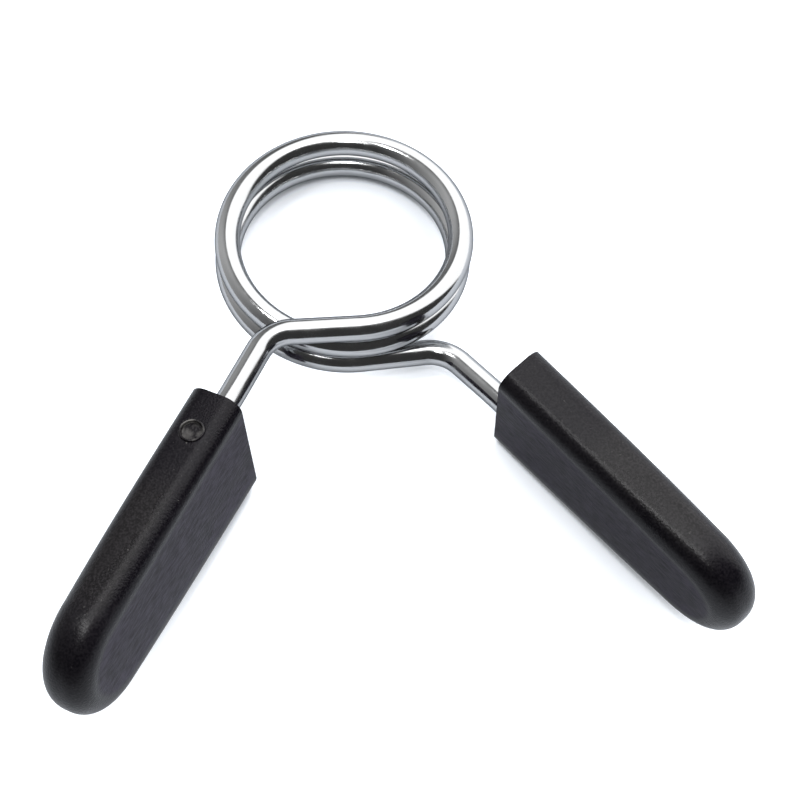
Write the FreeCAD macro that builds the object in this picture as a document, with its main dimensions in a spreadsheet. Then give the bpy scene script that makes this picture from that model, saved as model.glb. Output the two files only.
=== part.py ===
import FreeCAD, Part
import math
import os
from types import SimpleNamespace

import Sketcher
from FreeCAD import Placement, Rotation, Vector

# Spring collar for a weight bar: one wound spring wire and two moulded grips.
# The coil's axis is Z, its middle is the origin, and the grips stand out towards -Y.
# The wire and the pair of grips look the same after half a turn about the Y axis.
SIZES = [
    # the spring wire
    ("wire_thickness", 5.8, "diameter of the round spring wire, mm"),
    ("coil_bore", 48.0, "clear diameter inside the relaxed coil, mm"),
    ("coil_turns", 2, "whole turns round the bar"),
    ("past_front_deg", 1.6, "how far each end winds past the front, degrees"),
    ("front_spacing", 6.8, "from turn to turn at the front, centre to centre, mm"),
    ("back_spacing", 8.1, "from turn to turn at the back, centre to centre, mm"),
    ("run_length", 14.8, "straight run from the coil to the bend, mm"),
    ("bend_radius", 9.0, "centre line radius of the bend between run and leg, mm"),
    ("bend_deg", 57.4, "turn of that bend, degrees"),
    ("leg_length", 17.4, "bare leg from the bend to the mouth of the grip, mm"),
    ("leg_fall_share", 0.076, "how far the leg comes back to the middle, per length"),
    ("kick_length", 8.0, "end of the bare leg, which turns in line with the grip, mm"),
    ("grip_rise_share", 0.021, "how far the grip leaves the middle, per length"),
    ("wire_in_grip", 50.0, "length of wire inside the grip, mm"),
    # the moulded grips
    ("grip_length", 68.9, "mouth to tip, mm"),
    ("grip_height", 33.8, "broad face, across at the mouth, mm"),
    ("grip_tip_radius", 15.7, "round tip of the broad face, mm"),
    ("grip_width", 12.0, "between the broad faces, mm"),
    ("grip_rim_radius", 3.8, "round along the long edges and the tip, mm"),
    ("grip_roll_deg", 7.7, "lean of the grip about its own length, degrees"),
    ("socket_offset", 8.8, "from the middle of the mouth to the wire, mm"),
    ("socket_clearance", 0.3, "gap all round the wire and past its end, mm"),
    ("mark_diameter", 5.5, "round moulding mark on the narrow face, mm"),
    ("mark_depth", 0.5, "depth of that mark, mm"),
    ("mark_from_mouth", 10.1, "from the mouth to the middle of the mark, mm"),
]

SPANS_PER_TURN = 2
ORIGIN = Vector(0, 0, 0)
DIRECTION_TOLERANCE = 1e-9
TOUCH = 1e-4


def write_sheet(doc):
    """The spreadsheet of driving sizes, and the same values for the code below."""
    sheet = doc.addObject("Spreadsheet::Sheet", "sizes")
    for row, (name, value, note) in enumerate(SIZES, start=1):
        sheet.set(f"A{row}", name)
        sheet.set(f"B{row}", str(value))
        sheet.set(f"C{row}", note)
        sheet.setAlias(f"B{row}", name)
    doc.recompute()
    return SimpleNamespace(**{name: float(sheet.get(name)) for name, _, _ in SIZES})


# The wire's centre line


def unit(vector):
    """The same direction at length 1."""
    return vector / vector.Length


def level_heading(turned, slope):
    """A direction at an angle in plan, in radians, that climbs by a slope."""
    return unit(Vector(math.cos(turned), math.sin(turned), slope))


def coil_station(v, turned):
    """Place and heading on the coil, at an angle in radians from its middle at the front."""
    radius = (v.coil_bore + v.wire_thickness) / 2
    per_turn = v.front_spacing / math.tau
    wider_behind = (v.back_spacing - v.front_spacing) / 2
    height = per_turn * turned + wider_behind * math.sin(turned / 2)
    climb = per_turn + wider_behind * math.cos(turned / 2) / 2
    place = Vector(-radius * math.sin(turned), -radius * math.cos(turned), height)
    heading = unit(Vector(-radius * math.cos(turned), radius * math.sin(turned), climb))
    return place, heading


def turned_station(place, heading, onward, length):
    """Place and heading after one arc of a given length that turns into a new heading."""
    turn = math.acos(heading.dot(onward))
    return place + (heading + onward) * (length / turn * math.tan(turn / 2)), onward


def upper_stations(v):
    """Stations from the coil's middle to the end of the upper leg, and the one at the grip's mouth."""
    wound = math.pi * v.coil_turns + math.radians(v.past_front_deg)
    spans = round(SPANS_PER_TURN * v.coil_turns / 2)
    stations = [coil_station(v, wound * i / spans) for i in range(spans + 1)]
    place, heading = stations[-1]
    place = place + heading * v.run_length
    stations.append((place, heading))
    bend = math.radians(v.bend_deg)
    outward = math.atan2(heading.y, heading.x) + bend
    falling = level_heading(outward, -v.leg_fall_share)
    place, heading = turned_station(place, heading, falling, v.bend_radius * bend)
    stations.append((place, heading))
    place = place + heading * (v.leg_length - v.kick_length)
    stations.append((place, heading))
    rising = level_heading(outward, v.grip_rise_share)
    mouth = turned_station(place, heading, rising, v.kick_length)
    stations.append(mouth)
    stations.append((mouth[0] + mouth[1] * v.wire_in_grip, mouth[1]))
    return stations, mouth


def wire_stations(v):
    """Stations of the whole wire, the lower half being the upper one turned half round."""
    upper, _ = upper_stations(v)
    half_turn = Rotation(Vector(0, 1, 0), 180)
    lower = [(half_turn.multVec(place), -half_turn.multVec(heading)) for place, heading in upper[1:]]
    return lower[::-1] + upper


def arc_edge(start, corner, end):
    """The arc that leaves start towards corner and arrives at end from it."""
    middle = (start + end) / 2
    half = (end - start).Length / 2
    rise = (corner - middle).Length
    sagitta = half * math.tan(math.atan2(rise, half) / 2)
    return Part.Arc(start, middle + unit(corner - middle) * sagitta, end).toShape()


def span_edges(start, end):
    """One straight edge, one arc or two tangent arcs, from one station to the next."""
    (a, leaving), (b, arriving) = start, end
    across = b - a
    if unit(across).cross(leaving).Length < DIRECTION_TOLERANCE:
        return [Part.LineSegment(a, b).toShape()]
    along = across.dot(leaving + arriving)
    if unit(across).cross(unit(leaving + arriving)).Length < DIRECTION_TOLERANCE:
        return [arc_edge(a, a + leaving * (across.dot(across) / along), b)]
    spread = 2 * (1 - leaving.dot(arriving)) * across.dot(across)
    reach = across.dot(across) / (along + math.sqrt(along * along + spread))
    first, second = a + leaving * reach, b - arriving * reach
    join = (first + second) / 2
    return [arc_edge(a, first, join), arc_edge(join, second, b)]


def least_gap(path, v):
    """Smallest clear distance between two stretches of wire that aren't neighbours."""
    points = path.discretize(Distance=v.wire_thickness / 5)
    step = path.Length / (len(points) - 1)
    apart = math.ceil(v.coil_bore / step)
    nearest = min(
        points[i].distanceToPoint(points[j])
        for i in range(len(points))
        for j in range(i + apart, len(points))
    )
    return nearest - v.wire_thickness


def add_spring_wire(doc, v):
    """One unbroken round wire: leg, bend, run, coil, run, bend, leg."""
    stations = wire_stations(v)
    edges = []
    for start, end in zip(stations, stations[1:]):
        edges += span_edges(start, end)
    path = Part.Wire(edges)
    place, heading = stations[0]
    section = Part.Wire(Part.Circle(place, heading, v.wire_thickness / 2).toShape())
    spring = doc.addObject("Part::Feature", "spring_wire")
    spring.Label = "spring_wire"
    spring.Shape = path.makePipeShell([section], True, False)
    spring.Placement = Placement()
    radii = [edge.Curve.Radius for edge in edges if hasattr(edge.Curve, "Radius")]
    expected = path.Length * math.pi * v.wire_thickness**2 / 4
    print(f"wire length {path.Length:.1f}, tightest radius {min(radii):.2f}")
    print(f"wire volume {spring.Shape.Volume:.0f}, section times length {expected:.0f}")
    print(f"least gap of the wire to itself {least_gap(path, v):.2f}")
    return spring


# The grips, each modelled with its mouth at X = 0, its length along X and its height along Z


def add_sketch(body, role, name):
    """A sketch on one of the body's own origin planes."""
    sketch = body.newObject("Sketcher::SketchObject", name)
    plane = next(each for each in body.Origin.OriginFeatures if each.Role == role)
    sketch.AttachmentSupport = [(plane, "")]
    sketch.MapMode = "FlatFace"
    return sketch


def dimension(sketch, name, constraint, expression):
    """A named dimension that follows the spreadsheet."""
    index = sketch.addConstraint(constraint)
    sketch.renameConstraint(index, name)
    sketch.setExpression(f"Constraints.{name}", expression)


def side_outline(body, v):
    """The broad face: sides that draw in a little, and a full round tip."""
    sketch = add_sketch(body, "XZ_Plane", "SideOutline")
    half, tip, centre = v.grip_height / 2, v.grip_tip_radius, v.grip_length - v.grip_tip_radius
    circle = Part.Circle(Vector(centre, 0, 0), Vector(0, 0, 1), tip)
    mouth = sketch.addGeometry(Part.LineSegment(Vector(0, half, 0), Vector(0, -half, 0)))
    lower = sketch.addGeometry(Part.LineSegment(Vector(0, -half, 0), Vector(centre, -tip, 0)))
    nose = sketch.addGeometry(Part.ArcOfCircle(circle, -math.pi / 2, math.pi / 2))
    upper = sketch.addGeometry(Part.LineSegment(Vector(centre, tip, 0), Vector(0, half, 0)))
    for rule in [
        Sketcher.Constraint("Coincident", mouth, 2, lower, 1),
        Sketcher.Constraint("Tangent", lower, 2, nose, 1),
        Sketcher.Constraint("Tangent", nose, 2, upper, 1),
        Sketcher.Constraint("Coincident", upper, 2, mouth, 1),
        Sketcher.Constraint("Symmetric", mouth, 1, mouth, 2, -1),
        Sketcher.Constraint("PointOnObject", mouth, 1, -2),
        Sketcher.Constraint("PointOnObject", nose, 3, -1),
    ]:
        sketch.addConstraint(rule)
    across = Sketcher.Constraint("DistanceY", mouth, 2, mouth, 1, v.grip_height)
    reach = Sketcher.Constraint("DistanceX", -1, 1, nose, 3, centre)
    dimension(sketch, "height", across, "sizes.grip_height")
    dimension(sketch, "tip", Sketcher.Constraint("Radius", nose, tip), "sizes.grip_tip_radius")
    dimension(sketch, "reach", reach, "sizes.grip_length - sizes.grip_tip_radius")
    return sketch


def circle_sketch(body, role, name, place, diameter, texts):
    """One circle whose place and diameter follow the spreadsheet."""
    sketch = add_sketch(body, role, name)
    circle = sketch.addGeometry(Part.Circle(place, Vector(0, 0, 1), diameter / 2))
    side_text, up_text, diameter_text = texts
    axes = [("side", "DistanceX", place.x, side_text, -2), ("up", "DistanceY", place.y, up_text, -1)]
    for label, kind, value, text, axis in axes:
        if text:
            dimension(sketch, label, Sketcher.Constraint(kind, -1, 1, circle, 3, value), text)
        else:
            sketch.addConstraint(Sketcher.Constraint("PointOnObject", circle, 3, axis))
    dimension(sketch, "across", Sketcher.Constraint("Diameter", circle, diameter), diameter_text)
    return sketch


def add_feature(body, kind, name, profile, length_text, side="One side", reverse=False):
    """A pad or pocket of one sketch."""
    feature = body.newObject(kind, name)
    feature.Profile = profile
    feature.SideType = side
    feature.Reversed = reverse
    feature.setExpression("Length", length_text)
    profile.Visibility = False
    body.Document.recompute()
    return feature


def add_fillet(body, name, base, pick, radius_text):
    """A round on the edges of base that pick chooses."""
    edges = [f"Edge{i}" for i, edge in enumerate(base.Shape.Edges, start=1) if pick(edge)]
    fillet = body.newObject("PartDesign::Fillet", name)
    fillet.Base = (base, edges)
    fillet.setExpression("Radius", radius_text)
    body.Document.recompute()
    return fillet


def at_mouth(edge):
    """Whether an edge lies in the plane of the grip's mouth."""
    return all(abs(vertex.X) < TOUCH for vertex in edge.Vertexes)


def long_rim(shape):
    """A test for the edges between a broad face and the narrow faces or the tip."""
    broad = sorted(shape.Faces, key=lambda face: face.Area)[-2:]
    rims = [edge for face in broad for edge in face.Edges if not at_mouth(edge)]
    return lambda edge: any(edge.isSame(rim) for rim in rims)


def add_grip(doc, v, label, placement):
    """One moulded grip with a blind socket for its leg and a round moulding mark."""
    body = doc.addObject("PartDesign::Body", label)
    body.Label = label
    pad, pocket = "PartDesign::Pad", "PartDesign::Pocket"
    blank = add_feature(body, pad, "Blank", side_outline(body, v), "sizes.grip_width", "Symmetric")
    rim = add_fillet(body, "Rim", blank, long_rim(blank.Shape), "sizes.grip_rim_radius")
    bore_sketch = circle_sketch(
        body, "YZ_Plane", "SocketCircle", Vector(0, v.socket_offset, 0),
        v.wire_thickness + 2 * v.socket_clearance,
        ("", "sizes.socket_offset", "sizes.wire_thickness + 2 * sizes.socket_clearance"),
    )
    deep = "sizes.wire_in_grip + sizes.socket_clearance"
    socket = add_feature(body, pocket, "Socket", bore_sketch, deep, reverse=True)
    mark_sketch = circle_sketch(
        body, "XY_Plane", "MarkCircle", Vector(v.mark_from_mouth, 0, 0), v.mark_diameter,
        ("sizes.mark_from_mouth", "", "sizes.mark_diameter"),
    )
    mark_sketch.setExpression("AttachmentOffset.Base.z", "sizes.grip_height / 2")
    drop = "sizes.mark_from_mouth * (sizes.grip_height / 2 - sizes.grip_tip_radius) / sizes.grip_length"
    mark = add_feature(body, pocket, "Mark", mark_sketch, f"sizes.mark_depth + {drop}")
    steps = [blank, rim, socket, mark]
    for before, after in zip(steps, steps[1:]):
        if after.Shape.Volume >= before.Shape.Volume:
            raise RuntimeError(f"{label}: {after.Name} takes nothing off")
    body.Placement = placement
    return body


def grip_placements(v):
    """Where the two grips stand: the left one on the upper leg, the right one turned half round."""
    _, (place, along) = upper_stations(v)
    level_up = unit(Vector(0, 0, 1) - along * along.z)
    level_side = level_up.cross(along)
    roll = math.radians(v.grip_roll_deg)
    up = level_up * math.cos(roll) - level_side * math.sin(roll)
    left = Placement(place - up * v.socket_offset, Rotation(along, up.cross(along), up, "XZY"))
    half_turn = Placement(ORIGIN, Rotation(Vector(0, 1, 0), 180))
    return left, half_turn.multiply(left)


def check(doc, parts):
    """Stops the build if an object failed or a sub-part isn't one sound solid."""
    for each in doc.Objects:
        if "Invalid" in each.State or "Error" in each.State:
            raise RuntimeError(f"{each.Label} failed: {each.State}")
    for part in parts:
        shape = part.Shape
        if shape.isNull() or not shape.isValid() or len(shape.Solids) != 1:
            raise RuntimeError(f"{part.Label} isn't one sound solid")


def main():
    doc = FreeCAD.newDocument("spring_collar")
    v = write_sheet(doc)
    left, right = grip_placements(v)
    parts = [
        add_spring_wire(doc, v),
        add_grip(doc, v, "left_grip", left),
        add_grip(doc, v, "right_grip", right),
    ]
    doc.recompute()
    check(doc, parts)
    os.makedirs("parts", exist_ok=True)
    for part in parts:
        part.Shape.exportStep(f"parts/{part.Label}.step")
        box = part.Shape.BoundBox
        print(f"{part.Label}: volume {part.Shape.Volume:.0f}, box {box}")


main()
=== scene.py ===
import math

import bmesh
import bpy
from mathutils import Matrix, Quaternion, Vector


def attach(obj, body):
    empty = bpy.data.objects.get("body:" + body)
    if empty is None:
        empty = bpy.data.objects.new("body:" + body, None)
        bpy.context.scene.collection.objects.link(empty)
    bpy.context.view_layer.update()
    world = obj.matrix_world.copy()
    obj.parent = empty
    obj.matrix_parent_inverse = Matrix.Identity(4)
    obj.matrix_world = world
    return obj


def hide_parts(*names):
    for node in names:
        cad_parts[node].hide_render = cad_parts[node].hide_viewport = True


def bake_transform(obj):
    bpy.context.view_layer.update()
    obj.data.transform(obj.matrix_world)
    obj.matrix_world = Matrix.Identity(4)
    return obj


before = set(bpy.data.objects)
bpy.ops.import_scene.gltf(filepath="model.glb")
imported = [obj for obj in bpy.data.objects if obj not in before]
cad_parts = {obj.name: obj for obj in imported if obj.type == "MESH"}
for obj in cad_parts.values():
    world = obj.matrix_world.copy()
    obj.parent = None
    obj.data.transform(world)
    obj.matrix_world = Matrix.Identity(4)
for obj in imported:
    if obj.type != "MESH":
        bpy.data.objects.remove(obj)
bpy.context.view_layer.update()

# Spring collar for a weight bar: a chromed spring wire and two moulded grips.
# The coil's axis is Z, its middle is the origin, and the grips stand out towards -Y.
# The right half of everything is the left half after half a turn about the Y axis.
MM = 0.001
UP = Vector((0, 0, 1))
HALF_TURN = Matrix.Rotation(math.pi, 4, "Y")

# the spring wire
WIRE_THICKNESS = 5.8 * MM
COIL_BORE = 48.0 * MM
COIL_TURNS = 2
PAST_FRONT = math.radians(1.6)
FRONT_SPACING = 6.8 * MM
BACK_SPACING = 8.1 * MM
RUN_LENGTH = 14.8 * MM
BEND_RADIUS = 9.0 * MM
BEND = math.radians(57.4)
LEG_LENGTH = 17.4 * MM
LEG_FALL_SHARE = 0.076
KICK_LENGTH = 8.0 * MM
GRIP_RISE_SHARE = 0.021
WIRE_IN_GRIP = 50.0 * MM

# the moulded grips
GRIP_LENGTH = 68.9 * MM
GRIP_HEIGHT = 33.8 * MM
GRIP_TIP_RADIUS = 15.7 * MM
GRIP_WIDTH = 12.0 * MM
GRIP_RIM_RADIUS = 3.8 * MM
GRIP_OUTER_TIP_RIM_RADIUS = 5.9 * MM
GRIP_INNER_TIP_RIM_RADIUS = 4.8 * MM
RIM_GROWTH_POWER = 3
GRIP_ROLL = math.radians(7.7)
SOCKET_OFFSET = 8.8 * MM
SOCKET_CLEARANCE = 0.3 * MM
MARK_DIAMETER = 5.5 * MM
MARK_DEPTH = 0.5 * MM
MARK_FROM_MOUTH = 10.1 * MM
MARK_LIP = 0.5 * MM
MARK_CREST = MARK_DIAMETER / 2 - MARK_LIP / 2
MARK_FLOOR = MARK_CREST - MARK_LIP * 0.3

# how finely the meshes are drawn
WIRE_SIDES = 64
STEPS_PER_TURN = 180
STRAIGHT_STEP = 1.0 * MM


# The wire's centre line, as stations of place and heading


def level_heading(turned, slope):
    """A direction at an angle in plan that climbs by a slope."""
    return Vector((math.cos(turned), math.sin(turned), slope)).normalized()


def coil_station(turned):
    """Place and heading on the coil, at an angle from its middle at the front."""
    radius = (COIL_BORE + WIRE_THICKNESS) / 2
    per_turn = FRONT_SPACING / math.tau
    wider_behind = (BACK_SPACING - FRONT_SPACING) / 2
    height = per_turn * turned + wider_behind * math.sin(turned / 2)
    climb = per_turn + wider_behind * math.cos(turned / 2) / 2
    place = Vector((-radius * math.sin(turned), -radius * math.cos(turned), height))
    heading = Vector((-radius * math.cos(turned), radius * math.sin(turned), climb))
    return place, heading.normalized()


def coil_stretch(start, end):
    """Stations of the coil from one angle to another."""
    steps = math.ceil((end - start) / math.tau * STEPS_PER_TURN)
    return [coil_station(start + (end - start) * i / steps) for i in range(steps + 1)]


def straight_stretch(station, length):
    """Stations along a straight line, without the first."""
    place, heading = station
    steps = math.ceil(length / STRAIGHT_STEP)
    return [(place + heading * (length * i / steps), heading) for i in range(1, steps + 1)]


def arc_stretch(station, onward, length):
    """Stations along an arc that turns into a new heading, without the first."""
    place, heading = station
    axis = heading.cross(onward).normalized()
    turn = heading.angle(onward)
    radius = length / turn
    centre = place + axis.cross(heading) * radius
    steps = math.ceil(turn / math.tau * STEPS_PER_TURN)
    stations = []
    for i in range(1, steps + 1):
        rotation = Quaternion(axis, turn * i / steps)
        stations.append((centre + rotation @ (place - centre), rotation @ heading))
    return stations


def leg_stations():
    """The left leg from the back of the coil to the wire's end, and the station at the grip's mouth."""
    stations = coil_stretch(math.pi, math.pi * COIL_TURNS + PAST_FRONT)
    stations += straight_stretch(stations[-1], RUN_LENGTH)
    heading = stations[-1][1]
    outward = math.atan2(heading.y, heading.x) + BEND
    falling = level_heading(outward, -LEG_FALL_SHARE)
    stations += arc_stretch(stations[-1], falling, BEND_RADIUS * BEND)
    stations += straight_stretch(stations[-1], LEG_LENGTH - KICK_LENGTH)
    rising = level_heading(outward, GRIP_RISE_SHARE)
    stations += arc_stretch(stations[-1], rising, KICK_LENGTH)
    mouth = stations[-1]
    stations += straight_stretch(mouth, WIRE_IN_GRIP)
    return stations, mouth


def add_object(name, mesh):
    """A new object in the scene."""
    piece = bpy.data.objects.new(name, mesh)
    bpy.context.scene.collection.objects.link(piece)
    return piece


def add_wire(name, stations, placement, material):
    """A round wire along the stations, with both ends closed and its true normals."""
    turn = placement.to_3x3()
    corners, normals, faces = [], [], []
    for place, heading in stations:
        side = heading.cross(UP).normalized()
        over = side.cross(heading)
        for j in range(WIRE_SIDES):
            angle = math.tau * j / WIRE_SIDES
            outward = side * math.cos(angle) + over * math.sin(angle)
            corners.append(placement @ (place + outward * (WIRE_THICKNESS / 2)))
            normals.append(turn @ outward)
    for i in range(len(stations) - 1):
        for j in range(WIRE_SIDES):
            a, b = i * WIRE_SIDES + j, i * WIRE_SIDES + (j + 1) % WIRE_SIDES
            faces.append((a, a + WIRE_SIDES, b + WIRE_SIDES, b))
    last = (len(stations) - 1) * WIRE_SIDES
    faces.append(tuple(range(WIRE_SIDES)))
    faces.append(tuple(range(last, last + WIRE_SIDES))[::-1])
    mesh = bpy.data.meshes.new(name)
    mesh.from_pydata(corners, [], faces)
    mesh.polygons.foreach_set("use_smooth", [True] * len(faces))
    ends = [turn @ -stations[0][1], turn @ stations[-1][1]]
    by_loop = []
    for face in mesh.polygons:
        flat = {len(faces) - 2: ends[0], len(faces) - 1: ends[1]}.get(face.index)
        by_loop += [flat or normals[corner] for corner in face.vertices]
    mesh.normals_split_custom_set(by_loop)
    store_along(mesh, stations)
    mesh.materials.append(material)
    return add_object(name, mesh)


def store_along(mesh, stations):
    """Keeps each corner's place on the drawn wire, before it was wound, for the material."""
    values, travelled, before = [], 0.0, stations[0][0]
    for place, _ in stations:
        travelled += (place - before).length
        before = place
        for j in range(WIRE_SIDES):
            angle = math.tau * j / WIRE_SIDES
            reach = WIRE_THICKNESS / 2
            values += [reach * math.cos(angle), reach * math.sin(angle), travelled]
    attribute = mesh.attributes.new("along_wire", "FLOAT_VECTOR", "POINT")
    attribute.data.foreach_set("vector", values)


# The grips, each modelled with its mouth at X = 0, its length along X and its height along Z

OUTLINE_STEPS = 28
TIP_STEPS = 56
RIM_STEPS = 12
TURNED_SIDES = 64
LIP_SIDES = 16
CUT_OVERRUN = 2.0 * MM
SAME_PLACE = 0.002 * MM
SHARP_EDGE = math.radians(35)


def rim_radius(along, at_tip):
    """The round along the edge of a broad face, which grows towards the tip."""
    share = min(along / (GRIP_LENGTH - GRIP_TIP_RADIUS), 1)
    return GRIP_RIM_RADIUS + (at_tip - GRIP_RIM_RADIUS) * share**RIM_GROWTH_POWER


def outline_points():
    """Points and outward directions round the broad face, from the top of the mouth to its bottom."""
    centre = GRIP_LENGTH - GRIP_TIP_RADIUS
    lean = math.asin((GRIP_HEIGHT / 2 - GRIP_TIP_RADIUS) / centre)
    top = Vector((0, 0, GRIP_HEIGHT / 2))
    outward = Vector((math.sin(lean), 0, math.cos(lean)))
    first = Vector((centre, 0, 0)) + outward * GRIP_TIP_RADIUS
    points = [(top.lerp(first, i / OUTLINE_STEPS), outward) for i in range(OUTLINE_STEPS)]
    reach = math.pi / 2 - lean
    for i in range(TIP_STEPS // 2 + 1):
        angle = reach * (1 - 2 * i / TIP_STEPS)
        outward = Vector((math.cos(angle), 0, math.sin(angle)))
        points.append((Vector((centre, 0, 0)) + outward * GRIP_TIP_RADIUS, outward))
    flip = Matrix.Diagonal((1, 1, -1))
    return points + [(flip @ point, flip @ outward) for point, outward in points[-2::-1]]


def rim_point(point, outward, angle, at_tip):
    """Where a point of the outline lies after an angle round the rim, towards a broad face at +Y."""
    radius = rim_radius(point.x, at_tip)
    inward = radius * (1 - math.cos(angle))
    side = GRIP_WIDTH / 2 - radius + radius * math.sin(angle)
    drawn = point - outward * inward
    if point.x == 0:
        drawn = Vector((0, 0, point.z - math.copysign(inward / abs(outward.z), point.z)))
    return drawn + Vector((0, side, 0))


def rim_rows(points, at_tip):
    """The outline drawn in round the rim, from the narrow face to a broad face at +Y."""
    angles = [math.pi / 2 * i / RIM_STEPS for i in range(RIM_STEPS + 1)]
    return [[rim_point(point, outward, angle, at_tip) for point, outward in points] for angle in angles]


def grip_shell():
    """The grip without its socket and mark, as a closed mesh. Its inner broad face is at +Y."""
    points = outline_points()
    rows = rim_rows(points, GRIP_INNER_TIP_RIM_RADIUS)[::-1]
    outer = rim_rows(points, GRIP_OUTER_TIP_RIM_RADIUS)
    rows += [[Vector((point.x, -point.y, point.z)) for point in row] for row in outer]
    form = bmesh.new()
    grid = [[form.verts.new(point) for point in row] for row in rows]
    for above, below in zip(grid, grid[1:]):
        for k in range(len(above) - 1):
            form.faces.new((above[k], above[k + 1], below[k + 1], below[k]))
    for row in (grid[0], grid[-1][::-1]):
        for k in range(len(row) // 2):
            ends = [row[k], row[-1 - k], row[-2 - k], row[k + 1]]
            form.faces.new(dict.fromkeys(ends))
    mouth = [row[0] for row in grid] + [row[-1] for row in grid[::-1]]
    form.faces.new(mouth)
    bmesh.ops.recalc_face_normals(form, faces=form.faces)
    return form


def turned_form(name, profile, placement, ring=False):
    """A solid of revolution about Z, from radii and heights. A ring's profile closes on itself."""
    form = bmesh.new()
    rings = []
    for radius, height in profile:
        circle = []
        for j in range(TURNED_SIDES):
            angle = math.tau * j / TURNED_SIDES
            point = Vector((radius * math.cos(angle), radius * math.sin(angle), height))
            circle.append(form.verts.new(placement @ point))
        rings.append(circle)
    following = rings[1:] + rings[:1] if ring else rings[1:]
    for above, below in zip(rings, following):
        for j in range(TURNED_SIDES):
            k = (j + 1) % TURNED_SIDES
            form.faces.new((above[j], above[k], below[k], below[j]))
    if not ring:
        form.faces.new(rings[0])
        form.faces.new(rings[-1])
    bmesh.ops.recalc_face_normals(form, faces=form.faces)
    mesh = bpy.data.meshes.new(name)
    form.to_mesh(mesh)
    form.free()
    return add_object(name, mesh)


def combine(piece, other, operation):
    """Takes the other form out of the piece or adds it, and removes the other."""
    modifier = piece.modifiers.new("combine", "BOOLEAN")
    modifier.operation = operation
    modifier.solver = "EXACT"
    modifier.object = other
    apply_modifiers(piece)
    bpy.data.objects.remove(other)


def apply_modifiers(piece):
    """Replaces the piece's mesh with what its modifiers make of it."""
    graph = bpy.context.evaluated_depsgraph_get()
    mesh = bpy.data.meshes.new_from_object(piece.evaluated_get(graph))
    piece.modifiers.clear()
    piece.data = mesh


def clean(mesh):
    """Merges corners in one place, and takes out the flat faces that cutting leaves there."""
    form = bmesh.new()
    form.from_mesh(mesh)
    bmesh.ops.remove_doubles(form, verts=form.verts, dist=SAME_PLACE)
    bmesh.ops.dissolve_degenerate(form, edges=form.edges, dist=SAME_PLACE)
    form.to_mesh(mesh)
    form.free()


def grip_placement(mouth):
    """Where the left grip stands on its leg."""
    place, along = mouth
    level_up = (UP - along * along.z).normalized()
    level_side = level_up.cross(along)
    up = level_up * math.cos(GRIP_ROLL) - level_side * math.sin(GRIP_ROLL)
    turn = Matrix((along, up.cross(along), up)).transposed().to_4x4()
    return Matrix.Translation(place - up * SOCKET_OFFSET) @ turn


def store_moulded(mesh):
    """Keeps each corner's place in the mould and the width of the rim there, for the material."""
    places, widths = [], []
    for corner in mesh.vertices:
        place = corner.co
        at_tip = GRIP_INNER_TIP_RIM_RADIUS if place.y > 0 else GRIP_OUTER_TIP_RIM_RADIUS
        places += place[:]
        widths.append(rim_radius(place.x, at_tip))
    mesh.attributes.new("moulded", "FLOAT_VECTOR", "POINT").data.foreach_set("vector", places)
    mesh.attributes.new("rim_width", "FLOAT", "POINT").data.foreach_set("value", widths)


def add_grip(name, placement, material):
    """One moulded grip with its socket and its moulding mark."""
    mesh = bpy.data.meshes.new(name)
    form = grip_shell()
    form.to_mesh(mesh)
    form.free()
    grip = add_object(name, mesh)
    bore = WIRE_THICKNESS / 2 + SOCKET_CLEARANCE
    bottom = WIRE_IN_GRIP + SOCKET_CLEARANCE
    along = Matrix.Translation((0, 0, SOCKET_OFFSET)) @ Matrix.Rotation(math.pi / 2, 4, "Y")
    combine(grip, turned_form("socket", [(bore, -CUT_OVERRUN), (bore, bottom)], along), "DIFFERENCE")
    level = GRIP_HEIGHT / 2 - MARK_FROM_MOUTH * (GRIP_HEIGHT / 2 - GRIP_TIP_RADIUS) / GRIP_LENGTH
    over = Matrix.Translation((MARK_FROM_MOUTH, 0, level))
    lip = MARK_LIP / 2
    turns = [math.tau * i / LIP_SIDES for i in range(LIP_SIDES)]
    section = [(MARK_CREST + lip * math.cos(turn), lip * math.sin(turn)) for turn in turns]
    combine(grip, turned_form("lip", section, over, ring=True), "UNION")
    pocket = [(MARK_FLOOR, CUT_OVERRUN), (MARK_FLOOR, -MARK_DEPTH)]
    combine(grip, turned_form("mark", pocket, over), "DIFFERENCE")
    mesh = grip.data
    clean(mesh)
    store_moulded(mesh)
    mesh.transform(placement)
    mesh.polygons.foreach_set("use_smooth", [True] * len(mesh.polygons))
    mesh.set_sharp_from_angle(angle=SHARP_EDGE)
    mesh.materials.clear()
    mesh.materials.append(material)
    return grip


# Materials

# the chromed wire
CHROME_COLOURS = ((0.45, 0.455, 0.46), (0.50, 0.505, 0.51))
CHROME_EDGE_TINT = (0.25, 0.26, 0.27, 1)
CHROME_ROUGHNESS = (0.12, 0.20)
DRAWN_RELIEF = 0.003 * MM

# the moulded plastic, each pair of colours from dark to pale
OUTSIDE_SHEEN_COLOURS = ((0.0015, 0.001, 0.0025), (0.008, 0.007, 0.009))
# painted sheen: the paler colours of the band along the middle of the narrow faces
SHEEN_BAND_COLOURS = ((0.0045, 0.004, 0.0045), (0.017, 0.0155, 0.017))
ERODED_COLOURS = ((0.007, 0.0062, 0.009), (0.0435, 0.0385, 0.0545))
# the colour of the pale specks and the blotches on the mark's floor, and also of the painted highlight
# on the mark's crest
WEAR_AND_HIGHLIGHT_COLOUR = (0.13, 0.125, 0.12)
MOULDING_SPECULAR = 0.18
BROAD_ROUGHNESS = 0.58
SATIN_ROUGHNESS = 0.30
SATIN_UNEVENNESS = 0.04
POLISHED_ROUGHNESS = 0.2
GRAIN_RELIEF = 0.07 * MM
MARK_RELIEF = 0.3 * MM
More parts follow.
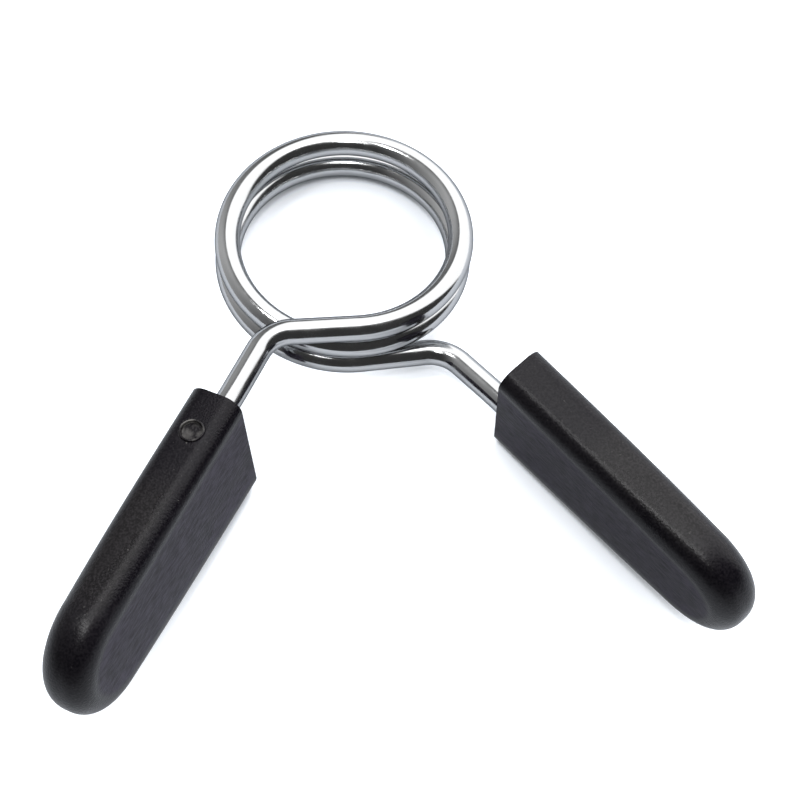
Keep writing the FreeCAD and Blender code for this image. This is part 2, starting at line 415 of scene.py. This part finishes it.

# how far the texture, the painted sheens and the painted highlight on the mark's crest reach
TEXTURE_FADE = 1.9 * MM
# painted sheen along the edges of the broad faces: where it starts and how much paler it makes them
SHEEN_EDGE_REACH = 5.5 * MM
EDGE_SHEEN = 0.2
# where the painted sheen band lies on the narrow faces
SHEEN_BAND_FROM = 18.0 * MM
SHEEN_BAND_TO = 60.0 * MM
SHEEN_BAND_FADE = 12.0 * MM
SHEEN_BAND_WIDTH = 9.2 * MM
SHEEN_BAND_SIDE_FADE = 1.8 * MM
# painted highlight: how far from the mark's crest it reaches
CREST_HIGHLIGHT_REACH = (MARK_LIP * 0.6, MARK_LIP * 0.2)

# each noise as its scale, its detail and how it is drawn out along the axes
DRAWN_LINES = (2600, 3, (1, 1, 0.03))
CLOUDS = (260, 3)
GRAIN = (2200, 2)
STREAKS = (1500, 3, (0.22, 1, 1))
FLOW = (90, 4, (0.35, 1, 1))
SPECKS = (1300, 1)
# the noise that breaks up the painted highlight on the mark's crest
CREST_HIGHLIGHT_NOISE = (260, 1)
PITS = (900, 3)
BLOTCHES = (480, 2)
FINE_SHARE = 0.7

# the part of each noise's values over which it rises, and from how much to how much
CLOUDS_SPAN = (0.35, 0.75)
GRAIN_SPAN = (0.38, 0.62)
STREAKS_SPAN = (0.33, 0.67)
FLOW_SPAN = (0.3, 0.7)
SPECKS_SPAN = (0.73, 0.83)
SPECKS_STRENGTH = (0.0, 0.35)
# the painted highlight on the mark's crest: where its noise rises and how pale it makes the crest
CREST_HIGHLIGHT_SPAN = (0.42, 0.60)
CREST_HIGHLIGHT_STRENGTH = (0.08, 1.0)
BLOTCHES_SPAN = (0.38, 0.62)
BLOTCHES_STRENGTH = (0.04, 0.42)


def new_material(name):
    """An empty node material, its node tree and its shader."""
    material = bpy.data.materials.new(name)
    material.use_nodes = True
    tree = material.node_tree
    return material, tree, tree.nodes["Principled BSDF"]


def put(tree, value, socket):
    """Sets a node's input to a plain value, or links it to another node's output."""
    if isinstance(value, bpy.types.NodeSocket):
        tree.links.new(value, socket)
    else:
        socket.default_value = value


def add_node(tree, kind, **inputs):
    """A node with some inputs set or linked: by their own names with _ for a space, or as _0 and _1."""
    node = tree.nodes.new(kind)
    for name, value in inputs.items():
        number = name[1:]
        key = int(number) if number.isdigit() else name.replace("_", " ")
        put(tree, value, node.inputs[key])
    return node


def maths(tree, operation, *values):
    """The result of one sum on numbers or sockets."""
    node = tree.nodes.new("ShaderNodeMath")
    node.operation = operation
    for socket, value in zip(node.inputs, values):
        put(tree, value, socket)
    return node.outputs[0]


def rise(tree, value, start, end, low=0.0, high=1.0):
    """A smooth change from low to high as a value goes from start to end."""
    node = add_node(
        tree, "ShaderNodeMapRange",
        Value=value, From_Min=start, From_Max=end, To_Min=low, To_Max=high,
    )
    node.interpolation_type = "SMOOTHSTEP"
    return node.outputs[0]


def speckle(tree, place, scale, detail, stretch=(1, 1, 1)):
    """Soft noise of a given scale, drawn out along the axes."""
    spread = add_node(tree, "ShaderNodeMapping", Vector=place, Scale=stretch)
    noise = add_node(tree, "ShaderNodeTexNoise", Vector=spread.outputs[0], Scale=scale, Detail=detail)
    return noise.outputs["Fac"]


def over_flow(tree, fine, flow):
    """Fine noise with a share of the slow flow noise."""
    slow = maths(tree, "MULTIPLY", flow, 1 - FINE_SHARE)
    return maths(tree, "MULTIPLY_ADD", fine, FINE_SHARE, slow)


def bump(tree, height, distance):
    """The surface's direction after small relief."""
    node = add_node(tree, "ShaderNodeBump", Height=height, Distance=distance, Strength=1.0)
    return node.outputs[0]


def two_tones(tree, share, first, second):
    """A colour between two colours, each given as a colour or as a socket."""
    node = tree.nodes.new("ShaderNodeMix")
    node.data_type = "RGBA"
    tree.links.new(share, node.inputs["Factor"])
    for name, colour in (("A", first), ("B", second)):
        opaque = (*colour, 1) if isinstance(colour, tuple) else colour
        put(tree, opaque, node.inputs[name])
    return node.outputs["Result"]


def attribute(tree, name, output):
    """What the mesh keeps under a name."""
    node = add_node(tree, "ShaderNodeAttribute")
    node.attribute_name = name
    return node.outputs[output]


def chrome():
    """Bright plating over drawn wire, with fine lines along it and faint cloudy patches."""
    material, tree, shader = new_material("chromed_wire")
    lines = speckle(tree, attribute(tree, "along_wire", "Vector"), *DRAWN_LINES)
    place = tree.nodes.new("ShaderNodeTexCoord").outputs["Object"]
    clouds = speckle(tree, place, *CLOUDS)
    shader.inputs["Metallic"].default_value = 1.0
    shader.inputs["Specular Tint"].default_value = CHROME_EDGE_TINT
    link = tree.links.new
    link(two_tones(tree, clouds, *CHROME_COLOURS), shader.inputs["Base Color"])
    link(rise(tree, clouds, *CLOUDS_SPAN, *CHROME_ROUGHNESS), shader.inputs["Roughness"])
    link(bump(tree, lines, DRAWN_RELIEF), shader.inputs["Normal"])
    return material


def from_mark(tree, place):
    """How far a place of the moulding lies from the middle of its round mark."""
    middle = Vector((MARK_FROM_MOUTH, 0, GRIP_HEIGHT / 2))
    away = add_node(tree, "ShaderNodeVectorMath", _0=place, _1=middle)
    away.operation = "DISTANCE"
    return away.outputs["Value"]


def from_outline(tree, place):
    """How far a place of the moulding lies inside the outline of its broad faces."""
    along, _, height = add_node(tree, "ShaderNodeSeparateXYZ", Vector=place).outputs
    straight = GRIP_LENGTH - GRIP_TIP_RADIUS
    taper = (GRIP_HEIGHT / 2 - GRIP_TIP_RADIUS) / straight
    before_tip = maths(tree, "MAXIMUM", maths(tree, "SUBTRACT", straight, along), 0.0)
    past_tip = maths(tree, "MAXIMUM", maths(tree, "SUBTRACT", along, straight), 0.0)
    squares = maths(tree, "MULTIPLY_ADD", past_tip, past_tip, maths(tree, "MULTIPLY", height, height))
    half = maths(tree, "MULTIPLY_ADD", before_tip, taper, GRIP_TIP_RADIUS)
    return maths(tree, "SUBTRACT", half, maths(tree, "SQRT", squares))


def painted_sheen_band(tree, place):
    """The middle of the narrow faces, away from the mouth and the tip, where a paler band is painted as
    sheen.
    """
    along, across, _ = add_node(tree, "ShaderNodeSeparateXYZ", Vector=place).outputs
    past_start = rise(tree, along, SHEEN_BAND_FROM, SHEEN_BAND_FROM + SHEEN_BAND_FADE)
    before_end = rise(tree, along, SHEEN_BAND_TO, SHEEN_BAND_TO - SHEEN_BAND_FADE)
    edge = SHEEN_BAND_WIDTH / 2
    near_middle = rise(tree, maths(tree, "ABSOLUTE", across), edge, edge - SHEEN_BAND_SIDE_FADE)
    return maths(tree, "MULTIPLY", maths(tree, "MULTIPLY", past_start, before_end), near_middle)


def satin_colour(tree, place, grain, flow):
    """The narrow faces: black with a fine dust, paler along a band of painted sheen, with sparse
    specks.
    """
    dusted = rise(tree, over_flow(tree, grain, flow), *GRAIN_SPAN)
    outside_sheen = two_tones(tree, dusted, *OUTSIDE_SHEEN_COLOURS)
    in_sheen = two_tones(tree, dusted, *SHEEN_BAND_COLOURS)
    # painted sheen: the narrow faces made paler along their middle, away from the mouth and the tip
    satin = two_tones(tree, painted_sheen_band(tree, place), outside_sheen, in_sheen)
    specks = rise(tree, speckle(tree, place, *SPECKS), *SPECKS_SPAN, *SPECKS_STRENGTH)
    return two_tones(tree, specks, satin, WEAR_AND_HIGHLIGHT_COLOUR)


def eroded_colour(tree, place, flow, onto_flat):
    """The broad faces: fine streaks along the grip, made a little paler near the edges by a painted
    sheen.
    """
    streaks = over_flow(tree, speckle(tree, place, *STREAKS), flow)
    # painted sheen: paler towards the edges of the broad faces
    edge_sheen = rise(tree, onto_flat, SHEEN_EDGE_REACH, TEXTURE_FADE, 0.0, EDGE_SHEEN)
    tone = maths(tree, "ADD", rise(tree, streaks, *STREAKS_SPAN), edge_sheen)
    return two_tones(tree, tone, *ERODED_COLOURS)


def with_mark(tree, place, away, on_floor, faces):
    """The colour of the faces, with the mark's patchy floor and a painted highlight along its ring's
    crest.
    """
    blotches = rise(tree, speckle(tree, place, *BLOTCHES), *BLOTCHES_SPAN, *BLOTCHES_STRENGTH)
    dull = maths(tree, "MULTIPLY", on_floor, blotches)
    # painted highlight: the crest of the mark's ring made pale, broken up by noise
    off_crest = maths(tree, "ABSOLUTE", maths(tree, "SUBTRACT", away, MARK_CREST))
    highlight_breaks = rise(tree, speckle(tree, place, *CREST_HIGHLIGHT_NOISE), *CREST_HIGHLIGHT_SPAN, *CREST_HIGHLIGHT_STRENGTH)
    painted_crest_highlight = maths(tree, "MULTIPLY", rise(tree, off_crest, *CREST_HIGHLIGHT_REACH), highlight_breaks)
    return two_tones(tree, painted_crest_highlight, two_tones(tree, dull, faces, WEAR_AND_HIGHLIGHT_COLOUR), WEAR_AND_HIGHLIGHT_COLOUR)


def moulding():
    """Black moulded plastic: satin narrow faces, and broad faces with a fine spark-eroded texture."""
    material, tree, shader = new_material("grip_moulding")
    place = attribute(tree, "moulded", "Vector")
    grain = speckle(tree, place, *GRAIN)
    flow = speckle(tree, place, *FLOW)
    rim = attribute(tree, "rim_width", "Fac")
    onto_flat = maths(tree, "SUBTRACT", from_outline(tree, place), rim)
    broad = rise(tree, onto_flat, 0.0, TEXTURE_FADE)
    away = from_mark(tree, place)
    on_lip = rise(tree, away, MARK_CREST + MARK_LIP, MARK_CREST + MARK_LIP / 2)
    on_floor = rise(tree, away, MARK_FLOOR + MARK_LIP / 4, MARK_FLOOR - MARK_LIP / 4)

    satin = satin_colour(tree, place, grain, flow)
    eroded = eroded_colour(tree, place, flow, onto_flat)
    colour = with_mark(tree, place, away, on_floor, two_tones(tree, broad, satin, eroded))

    smoothest = SATIN_ROUGHNESS - SATIN_UNEVENNESS
    roughest = SATIN_ROUGHNESS + SATIN_UNEVENNESS
    smooth = rise(tree, flow, *FLOW_SPAN, smoothest, roughest)
    polished = maths(tree, "MULTIPLY_ADD", on_lip, POLISHED_ROUGHNESS - SATIN_ROUGHNESS, smooth)
    roughness = maths(tree, "MULTIPLY_ADD", broad, BROAD_ROUGHNESS - SATIN_ROUGHNESS, polished)

    off_lip = maths(tree, "SUBTRACT", 1.0, on_lip)
    fine = maths(tree, "MULTIPLY", maths(tree, "MULTIPLY", grain, GRAIN_RELIEF), off_lip)
    pits = maths(tree, "MULTIPLY", speckle(tree, place, *PITS), on_floor)
    relief = maths(tree, "MULTIPLY_ADD", pits, MARK_RELIEF, fine)

    shader.inputs["Specular IOR Level"].default_value = MOULDING_SPECULAR
    tree.links.new(colour, shader.inputs["Base Color"])
    tree.links.new(roughness, shader.inputs["Roughness"])
    tree.links.new(bump(tree, relief, 1.0), shader.inputs["Normal"])
    return material


# The stage: the floor that the collar lies on, the room round it, lamps and the camera

BULB_DIRECTION = (-0.12, -0.32, 0.94)
FLOOR_UP = Vector((-0.0824, -0.1329, 0.9877)).normalized()
FLOOR_SIZE = 12.0
FLOOR_COLOUR = (0.62, 0.65, 0.70, 1)
FLOOR_ROUGHNESS = 0.9
FLOOR_SPECULAR = 0.1
FLOOR_GLOW = (0.97, 1.0, 1.03, 1)
FLOOR_TO_CAMERA = 0.9
FLOOR_TO_MIRRORS = 0.15
# painted contact shadow: the floor's glow is darkened where the collar comes near it
CONTACT_REACH = 20.0 * MM
CONTACT_LIGHT = Vector(BULB_DIRECTION).normalized()
CONTACT_SAMPLES = 8
CONTACT_SPAN = (0.25, 0.82)
ROOM_RADIUS = 3.0
ROOM_SEGMENTS = 48
ROOM_RINGS = 24
AMBIENT = 0.30
WHITE = (1, 1, 1, 1)


def background_share(tree, camera, mirrored):
    """Light that only shows the background: one strength to the camera, one to mirrors and glass."""
    path = tree.nodes.new("ShaderNodeLightPath")
    reflected = maths(tree, "ADD", path.outputs["Is Glossy Ray"], path.outputs["Is Transmission Ray"])
    seen = maths(tree, "MULTIPLY", path.outputs["Is Camera Ray"], camera)
    return maths(tree, "ADD", seen, maths(tree, "MULTIPLY", reflected, mirrored))


def add_floor(pieces):
    """A pale floor under the lowest point of the pieces, square to the way the collar lies, its glow
    darkened near the collar as a painted contact shadow.
    """
    lowest = min(FLOOR_UP.dot(corner.co) for piece in pieces for corner in piece.data.vertices)
    mesh = bpy.data.meshes.new("floor")
    half = FLOOR_SIZE / 2
    corners = [(-half, -half, 0), (half, -half, 0), (half, half, 0), (-half, half, 0)]
    mesh.from_pydata(corners, [], [(0, 1, 2, 3)])
    floor = add_object("floor", mesh)
    floor.rotation_mode = "QUATERNION"
    floor.rotation_quaternion = FLOOR_UP.to_track_quat("Z", "Y")
    floor.location = FLOOR_UP * lowest
    material, tree, shader = new_material("floor")
    shader.inputs["Base Color"].default_value = FLOOR_COLOUR
    shader.inputs["Roughness"].default_value = FLOOR_ROUGHNESS
    shader.inputs["Specular IOR Level"].default_value = FLOOR_SPECULAR
    shader.inputs["Emission Color"].default_value = FLOOR_GLOW
    # painted contact shadow: ambient occlusion darkens the glow that the camera and mirrors see
    contact = add_node(tree, "ShaderNodeAmbientOcclusion", Distance=CONTACT_REACH, Normal=CONTACT_LIGHT)
    contact.samples = CONTACT_SAMPLES
    clear = rise(tree, contact.outputs["AO"], *CONTACT_SPAN)
    shown = background_share(tree, FLOOR_TO_CAMERA, FLOOR_TO_MIRRORS)
    tree.links.new(maths(tree, "MULTIPLY", shown, clear), shader.inputs["Emission Strength"])
    mesh.materials.append(material)


# the room's light, by degrees turned to the right of +Y and degrees raised over level
# a span is where it changes, and a lean is how far an edge of the window moves for each degree raised
WINDOW_LIGHT = 2.05
WINDOW_LEFT = 28.0
WINDOW_LEFT_LEAN = -0.75
WINDOW_LEFT_SPAN = (-2.0, 2.0)
WINDOW_RIGHT = 88.0
WINDOW_RIGHT_LEAN = 0.4
WINDOW_RIGHT_SPAN = (3.0, -3.0)
SKYLIGHT_SPAN = (78.0, 82.0)
WALL_LIGHT = 0.72
WALL_START_SPAN = (-150.0, -35.0)
WALL_END_SPAN = (60.0, 40.0)
WALL_BESIDE_WINDOW_SPAN = (-60.0, -5.0)
WALL_BESIDE_WINDOW = 0.22
WALL_TOP_SPAN = (45.0, 75.0)
WALL_TOP = 0.25
CEILING_LIGHT = 2.2
CEILING_SPAN = (68.0, 80.0)
CEILING_TURN_SPAN = (-60.0, -10.0)
DARK_LIGHT = 0.06


def room_light(tree):
    """What the room gives back in each direction: a window, a grey wall on its left and the dark."""
    place = tree.nodes.new("ShaderNodeTexCoord").outputs["Object"]
    ray = add_node(tree, "ShaderNodeVectorMath", _0=place)
    ray.operation = "NORMALIZE"
    across, away, up = add_node(tree, "ShaderNodeSeparateXYZ", Vector=ray.outputs[0]).outputs
    turned = maths(tree, "DEGREES", maths(tree, "ARCTAN2", across, away))
    raised = maths(tree, "DEGREES", maths(tree, "ARCSINE", up))

    left_edge = maths(tree, "MULTIPLY_ADD", raised, WINDOW_LEFT_LEAN, WINDOW_LEFT)
    right_edge = maths(tree, "MULTIPLY_ADD", raised, WINDOW_RIGHT_LEAN, WINDOW_RIGHT)
    past_left = rise(tree, maths(tree, "SUBTRACT", turned, left_edge), *WINDOW_LEFT_SPAN)
    before_right = rise(tree, maths(tree, "SUBTRACT", turned, right_edge), *WINDOW_RIGHT_SPAN)
    between = maths(tree, "MULTIPLY", past_left, before_right)
    window = maths(tree, "MAXIMUM", between, rise(tree, raised, *SKYLIGHT_SPAN))

    past_start = rise(tree, turned, *WALL_START_SPAN)
    before_end = rise(tree, turned, *WALL_END_SPAN)
    off_window = rise(tree, turned, *WALL_BESIDE_WINDOW_SPAN, 1.0, WALL_BESIDE_WINDOW)
    under_top = rise(tree, raised, *WALL_TOP_SPAN, 1.0, WALL_TOP)
    wall = maths(tree, "MULTIPLY", maths(tree, "MULTIPLY", past_start, off_window), under_top)
    dim = maths(tree, "MULTIPLY_ADD", maths(tree, "MULTIPLY", wall, before_end), WALL_LIGHT, DARK_LIGHT)

    high = rise(tree, raised, *CEILING_SPAN)
    ceiling = maths(tree, "MULTIPLY", high, rise(tree, turned, *CEILING_TURN_SPAN))
    bright = maths(tree, "MULTIPLY_ADD", ceiling, CEILING_LIGHT, dim)
    return maths(tree, "MULTIPLY_ADD", window, WINDOW_LIGHT, bright)


def add_room():
    """The room, which only mirrors and gloss show, and the even pale background behind it."""
    form = bmesh.new()
    bmesh.ops.create_uvsphere(form, u_segments=ROOM_SEGMENTS, v_segments=ROOM_RINGS, radius=ROOM_RADIUS)
    mesh = bpy.data.meshes.new("room")
    form.to_mesh(mesh)
    form.free()
    room = add_object("room", mesh)
    for kind in ("camera", "diffuse", "transmission", "volume_scatter", "shadow"):
        setattr(room, f"visible_{kind}", False)
    material = bpy.data.materials.new("room")
    material.use_nodes = True
    tree = material.node_tree
    tree.nodes.clear()
    light = add_node(tree, "ShaderNodeEmission", Strength=room_light(tree))
    output = tree.nodes.new("ShaderNodeOutputMaterial")
    tree.links.new(light.outputs[0], output.inputs["Surface"])
    mesh.materials.append(material)
    world = bpy.data.worlds.new("surround")
    world.use_nodes = True
    bpy.context.scene.world = world
    tree = world.node_tree
    shown = background_share(tree, 1.0 - AMBIENT, 1.0 - AMBIENT)
    strength = maths(tree, "ADD", shown, AMBIENT)
    tree.links.new(strength, tree.nodes["Background"].inputs["Strength"])
    tree.nodes["Background"].inputs["Color"].default_value = WHITE


# the viewpoint of the photograph, found by fitting a camera to the outlines
CAMERA_AZIMUTH = math.radians(15.529)
CAMERA_ELEVATION = math.radians(60.088)
CAMERA_ROLL = math.radians(7.872)
CAMERA_DISTANCE = 372.18 * MM
CAMERA_TARGET = Vector((6.885, -42.27, 0)) * MM
NEAREST_SEEN = CAMERA_DISTANCE / 100
PHOTO_SIZE = 800
FOCAL_PIXELS = 1681.5
SENSOR_WIDTH = 36.0


def add_camera():
    """The photograph's viewpoint."""
    level = math.cos(CAMERA_ELEVATION)
    ahead = Vector((math.sin(CAMERA_AZIMUTH), math.cos(CAMERA_AZIMUTH), 0))
    sight = ahead * level - UP * math.sin(CAMERA_ELEVATION)
    right = ahead.cross(UP)
    over = right.cross(sight)
    rolled_right = right * math.cos(CAMERA_ROLL) + over * math.sin(CAMERA_ROLL)
    rolled_over = over * math.cos(CAMERA_ROLL) - right * math.sin(CAMERA_ROLL)
    data = bpy.data.cameras.new("camera")
    data.sensor_width = SENSOR_WIDTH
    data.lens = FOCAL_PIXELS * SENSOR_WIDTH / PHOTO_SIZE
    data.clip_start = NEAREST_SEEN
    camera = add_object("camera", data)
    turn = Matrix((rolled_right, rolled_over, -sight)).transposed().to_4x4()
    camera.matrix_world = Matrix.Translation(CAMERA_TARGET - sight * CAMERA_DISTANCE) @ turn
    bpy.context.scene.camera = camera


# each lamp's name, direction, distance, width, power and whether mirrors show it
LAMPS = (
    ("window", (0.66, 0.58, 0.9), 2.4, 1.9, 88, False),
    ("bulb", BULB_DIRECTION, 1.2, 0.22, 4, True),
    ("side_bulb", (-0.34, -0.03, 0.94), 1.2, 0.16, 3, True),
)


def add_lamp(name, towards, distance, size, power, in_mirrors):
    """A round soft lamp that faces the object from one direction."""
    data = bpy.data.lights.new(name, "AREA")
    data.shape = "DISK"
    data.size = size
    data.energy = power
    lamp = add_object(name, data)
    direction = Vector(towards).normalized()
    lamp.location = direction * distance
    lamp.rotation_mode = "QUATERNION"
    lamp.rotation_quaternion = direction.to_track_quat("Z", "Y")
    lamp.visible_glossy = in_mirrors


def main():
    """Builds the collar, with each leg and grip on its handle's body, and the stage round it."""
    wire, plastic = chrome(), moulding()
    stations, mouth = leg_stations()
    half_coil = coil_stretch(0, math.pi)
    pieces = []
    for side, placement in (("left", Matrix.Identity(4)), ("right", HALF_TURN)):
        body = f"{side}_handle"
        coil = add_wire(f"wire_coil_{side}", half_coil, placement, wire)
        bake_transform(coil)
        leg = add_wire(f"wire_leg_{side}", stations, placement, wire)
        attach(leg, body)
        for piece in (coil, leg):
            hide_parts("spring_wire")
        grip = add_grip(f"{side}_grip_moulding", placement @ grip_placement(mouth), plastic)
        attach(grip, body)
        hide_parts(f"{side}_grip")
        pieces += [coil, leg, grip]
    add_floor(pieces)
    add_room()
    for lamp in LAMPS:
        add_lamp(*lamp)
    add_camera()
    bpy.context.scene.view_settings.view_transform = "Standard"


main()
